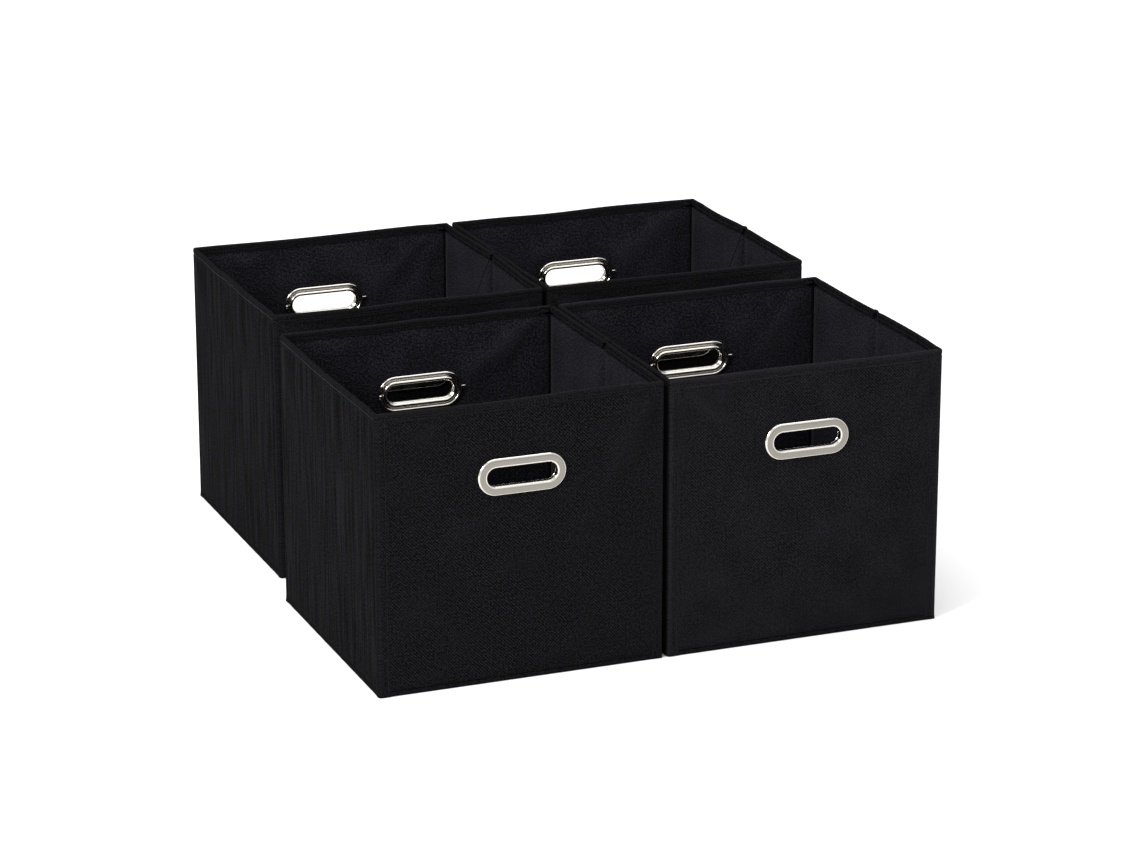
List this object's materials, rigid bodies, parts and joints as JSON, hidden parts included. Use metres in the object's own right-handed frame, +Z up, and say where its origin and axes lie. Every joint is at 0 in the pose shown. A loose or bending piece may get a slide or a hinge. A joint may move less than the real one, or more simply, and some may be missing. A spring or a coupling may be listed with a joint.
{
  "type": "foldable fabric storage cube set",
  "caption": "Open-topped fabric storage cubes with board-stiffened walls that fold flat, lift-out floors and metal grip rings in the front and back walls.",
  "frame": {"origin": "on the floor, at the middle of the rectangle that holds all of the cubes", "axes": "+X to the right of someone facing the front rings, +Y from front to back, +Z up"},
  "size_m": [0.642, 0.6942, 0.3],
  "materials": {
    "fabric_cover": "black non-woven fabric with a fine diagonal emboss",
    "fabric_lining": "black non-woven lining, slightly bluish",
    "board": "grey-brown chipboard, hidden inside the fabric",
    "ring_satin": "satin nickel plate with polished edges",
    "ring_bright": "bright nickel plate"
  },
  "bodies": {
    "cube1_front_wall": {"cube1_front_cover": "fabric_cover", "cube1_front_board": "board", "cube1_front_ring_outer": "ring_satin", "cube1_front_ring_inner": "ring_bright", "cube1_bottom_tray": "fabric_cover"},
    "cube1_back_wall": {"cube1_back_cover": "fabric_cover", "cube1_back_board": "board", "cube1_back_ring_outer": "ring_satin", "cube1_back_ring_inner": "ring_bright"},
    "cube1_left_fore": {"cube1_left_fore_panel": "fabric_cover"},
    "cube1_left_aft": {"cube1_left_aft_panel": "fabric_cover"},
    "cube1_right_fore": {"cube1_right_fore_panel": "fabric_cover"},
    "cube1_right_aft": {"cube1_right_aft_panel": "fabric_cover"},
    "cube1_lift_floor": {"cube1_floor_cover": "fabric_lining", "cube1_floor_board": "board"},
    "cube2_front_wall": {"cube2_front_cover": "fabric_cover", "cube2_front_board": "board", "cube2_front_ring_outer": "ring_satin", "cube2_front_ring_inner": "ring_bright", "cube2_bottom_tray": "fabric_cover"},
    "cube2_back_wall": {"cube2_back_cover": "fabric_cover", "cube2_back_board": "board", "cube2_back_ring_outer": "ring_satin", "cube2_back_ring_inner": "ring_bright"},
    "cube2_left_fore": {"cube2_left_fore_panel": "fabric_cover"},
    "cube2_left_aft": {"cube2_left_aft_panel": "fabric_cover"},
    "cube2_right_fore": {"cube2_right_fore_panel": "fabric_cover"},
    "cube2_right_aft": {"cube2_right_aft_panel": "fabric_cover"},
    "cube2_lift_floor": {"cube2_floor_cover": "fabric_lining", "cube2_floor_board": "board"},
    "cube3_front_wall": {"cube3_front_cover": "fabric_cover", "cube3_front_board": "board", "cube3_front_ring_outer": "ring_satin", "cube3_front_ring_inner": "ring_bright", "cube3_bottom_tray": "fabric_cover"},
    "cube3_back_wall": {"cube3_back_cover": "fabric_cover", "cube3_back_board": "board", "cube3_back_ring_outer": "ring_satin", "cube3_back_ring_inner": "ring_bright"},
    "cube3_left_fore": {"cube3_left_fore_panel": "fabric_cover"},
    "cube3_left_aft": {"cube3_left_aft_panel": "fabric_cover"},
    "cube3_right_fore": {"cube3_right_fore_panel": "fabric_cover"},
    "cube3_right_aft": {"cube3_right_aft_panel": "fabric_cover"},
    "cube3_lift_floor": {"cube3_floor_cover": "fabric_lining", "cube3_floor_board": "board"},
    "cube4_front_wall": {"cube4_front_cover": "fabric_cover", "cube4_front_board": "board", "cube4_front_ring_outer": "ring_satin", "cube4_front_ring_inner": "ring_bright", "cube4_bottom_tray": "fabric_cover"},
    "cube4_back_wall": {"cube4_back_cover": "fabric_cover", "cube4_back_board": "board", "cube4_back_ring_outer": "ring_satin", "cube4_back_ring_inner": "ring_bright"},
    "cube4_left_fore": {"cube4_left_fore_panel": "fabric_cover"},
    "cube4_left_aft": {"cube4_left_aft_panel": "fabric_cover"},
    "cube4_right_fore": {"cube4_right_fore_panel": "fabric_cover"},
    "cube4_right_aft": {"cube4_right_aft_panel": "fabric_cover"},
    "cube4_lift_floor": {"cube4_floor_cover": "fabric_lining", "cube4_floor_board": "board"}
  },
  "joints": [
    {"name": "cube1_fold", "type": "hinge", "parent": "cube1_front_wall", "child": "cube1_left_fore", "pos_m": [-0.318, -0.341, 0], "axis": [0, 0, -1], "range_deg": [0, 86], "deforming": ["cube1_bottom_tray"]},
    {"name": "cube1_left_crease", "type": "hinge", "parent": "cube1_left_fore", "child": "cube1_left_aft", "pos_m": [-0.3214, -0.1895, 0], "axis": [0, 0, 1], "range_deg": [0, 173]},
    {"name": "cube1_back_fold", "type": "hinge", "parent": "cube1_left_aft", "child": "cube1_back_wall", "pos_m": [-0.318, -0.038, 0], "axis": [0, 0, -1], "range_deg": [0, 87]},
    {"name": "cube1_right_fold", "type": "hinge", "parent": "cube1_front_wall", "child": "cube1_right_fore", "pos_m": [-0.014, -0.341, 0], "axis": [0, 0, 1], "range_deg": [0, 87]},
    {"name": "cube1_right_crease", "type": "hinge", "parent": "cube1_right_fore", "child": "cube1_right_aft", "pos_m": [-0.0106, -0.1895, 0], "axis": [0, 0, -1], "range_deg": [0, 173]},
    {"name": "cube1_floor_lift", "type": "slide", "parent": "cube1_front_wall", "child": "cube1_lift_floor", "axis": [0, 0, 1], "range_m": [0, 0.33]},
    {"name": "cube2_fold", "type": "hinge", "parent": "cube2_front_wall", "child": "cube2_left_fore", "pos_m": [-0.002, -0.341, 0], "axis": [0, 0, -1], "range_deg": [0, 86], "deforming": ["cube2_bottom_tray"]},
    {"name": "cube2_left_crease", "type": "hinge", "parent": "cube2_left_fore", "child": "cube2_left_aft", "pos_m": [-0.0054, -0.1895, 0], "axis": [0, 0, 1], "range_deg": [0, 173]},
    {"name": "cube2_back_fold", "type": "hinge", "parent": "cube2_left_aft", "child": "cube2_back_wall", "pos_m": [-0.002, -0.038, 0], "axis": [0, 0, -1], "range_deg": [0, 87]},
    {"name": "cube2_right_fold", "type": "hinge", "parent": "cube2_front_wall", "child": "cube2_right_fore", "pos_m": [0.302, -0.341, 0], "axis": [0, 0, 1], "range_deg": [0, 87]},
    {"name": "cube2_right_crease", "type": "hinge", "parent": "cube2_right_fore", "child": "cube2_right_aft", "pos_m": [0.3054, -0.1895, 0], "axis": [0, 0, -1], "range_deg": [0, 173]},
    {"name": "cube2_floor_lift", "type": "slide", "parent": "cube2_front_wall", "child": "cube2_lift_floor", "axis": [0, 0, 1], "range_m": [0, 0.33]},
    {"name": "cube2_place", "type": "slide", "parent": "cube1_front_wall", "child": "cube2_front_wall", "axis": [0, -1, 0], "range_m": [0, 0.3]},
    {"name": "cube3_fold", "type": "hinge", "parent": "cube3_front_wall", "child": "cube3_left_fore", "pos_m": [-0.302, 0.038, 0], "axis": [0, 0, -1], "range_deg": [0, 86], "deforming": ["cube3_bottom_tray"]},
    {"name": "cube3_left_crease", "type": "hinge", "parent": "cube3_left_fore", "child": "cube3_left_aft", "pos_m": [-0.3054, 0.1895, 0], "axis": [0, 0, 1], "range_deg": [0, 173]},
    {"name": "cube3_back_fold", "type": "hinge", "parent": "cube3_left_aft", "child": "cube3_back_wall", "pos_m": [-0.302, 0.341, 0], "axis": [0, 0, -1], "range_deg": [0, 87]},
    {"name": "cube3_right_fold", "type": "hinge", "parent": "cube3_front_wall", "child": "cube3_right_fore", "pos_m": [0.002, 0.038, 0], "axis": [0, 0, 1], "range_deg": [0, 87]},
    {"name": "cube3_right_crease", "type": "hinge", "parent": "cube3_right_fore", "child": "cube3_right_aft", "pos_m": [0.0054, 0.1895, 0], "axis": [0, 0, -1], "range_deg": [0, 173]},
    {"name": "cube3_floor_lift", "type": "slide", "parent": "cube3_front_wall", "child": "cube3_lift_floor", "axis": [0, 0, 1], "range_m": [0, 0.33]},
    {"name": "cube3_place", "type": "slide", "parent": "cube1_front_wall", "child": "cube3_front_wall", "axis": [0, 1, 0], "range_m": [0, 0.3]},
    {"name": "cube4_fold", "type": "hinge", "parent": "cube4_front_wall", "child": "cube4_left_fore", "pos_m": [0.014, 0.038, 0], "axis": [0, 0, -1], "range_deg": [0, 86], "deforming": ["cube4_bottom_tray"]},
    {"name": "cube4_left_crease", "type": "hinge", "parent": "cube4_left_fore", "child": "cube4_left_aft", "pos_m": [0.0106, 0.1895, 0], "axis": [0, 0, 1], "range_deg": [0, 173]},
    {"name": "cube4_back_fold", "type": "hinge", "parent": "cube4_left_aft", "child": "cube4_back_wall", "pos_m": [0.014, 0.341, 0], "axis": [0, 0, -1], "range_deg": [0, 87]},
    {"name": "cube4_right_fold", "type": "hinge", "parent": "cube4_front_wall", "child": "cube4_right_fore", "pos_m": [0.318, 0.038, 0], "axis": [0, 0, 1], "range_deg": [0, 87]},
    {"name": "cube4_right_crease", "type": "hinge", "parent": "cube4_right_fore", "child": "cube4_right_aft", "pos_m": [0.3214, 0.1895, 0], "axis": [0, 0, -1], "range_deg": [0, 173]},
    {"name": "cube4_floor_lift", "type": "slide", "parent": "cube4_front_wall", "child": "cube4_lift_floor", "axis": [0, 0, 1], "range_m": [0, 0.33]},
    {"name": "cube4_place", "type": "slide", "parent": "cube1_front_wall", "child": "cube4_front_wall", "axis": [0, 1, 0], "range_m": [0, 0.3]}
  ],
  "couplings": [
    {"joint": "cube1_left_crease", "follows": "cube1_fold", "ratio": 2},
    {"joint": "cube1_back_fold", "follows": "cube1_fold", "ratio": 1},
    {"joint": "cube1_right_fold", "follows": "cube1_fold", "ratio": 1},
    {"joint": "cube1_right_crease", "follows": "cube1_fold", "ratio": 2},
    {"joint": "cube2_left_crease", "follows": "cube2_fold", "ratio": 2},
    {"joint": "cube2_back_fold", "follows": "cube2_fold", "ratio": 1},
    {"joint": "cube2_right_fold", "follows": "cube2_fold", "ratio": 1},
    {"joint": "cube2_right_crease", "follows": "cube2_fold", "ratio": 2},
    {"joint": "cube3_left_crease", "follows": "cube3_fold", "ratio": 2},
    {"joint": "cube3_back_fold", "follows": "cube3_fold", "ratio": 1},
    {"joint": "cube3_right_fold", "follows": "cube3_fold", "ratio": 1},
    {"joint": "cube3_right_crease", "follows": "cube3_fold", "ratio": 2},
    {"joint": "cube4_left_crease", "follows": "cube4_fold", "ratio": 2},
    {"joint": "cube4_back_fold", "follows": "cube4_fold", "ratio": 1},
    {"joint": "cube4_right_fold", "follows": "cube4_fold", "ratio": 1},
    {"joint": "cube4_right_crease", "follows": "cube4_fold", "ratio": 2}
  ]
}
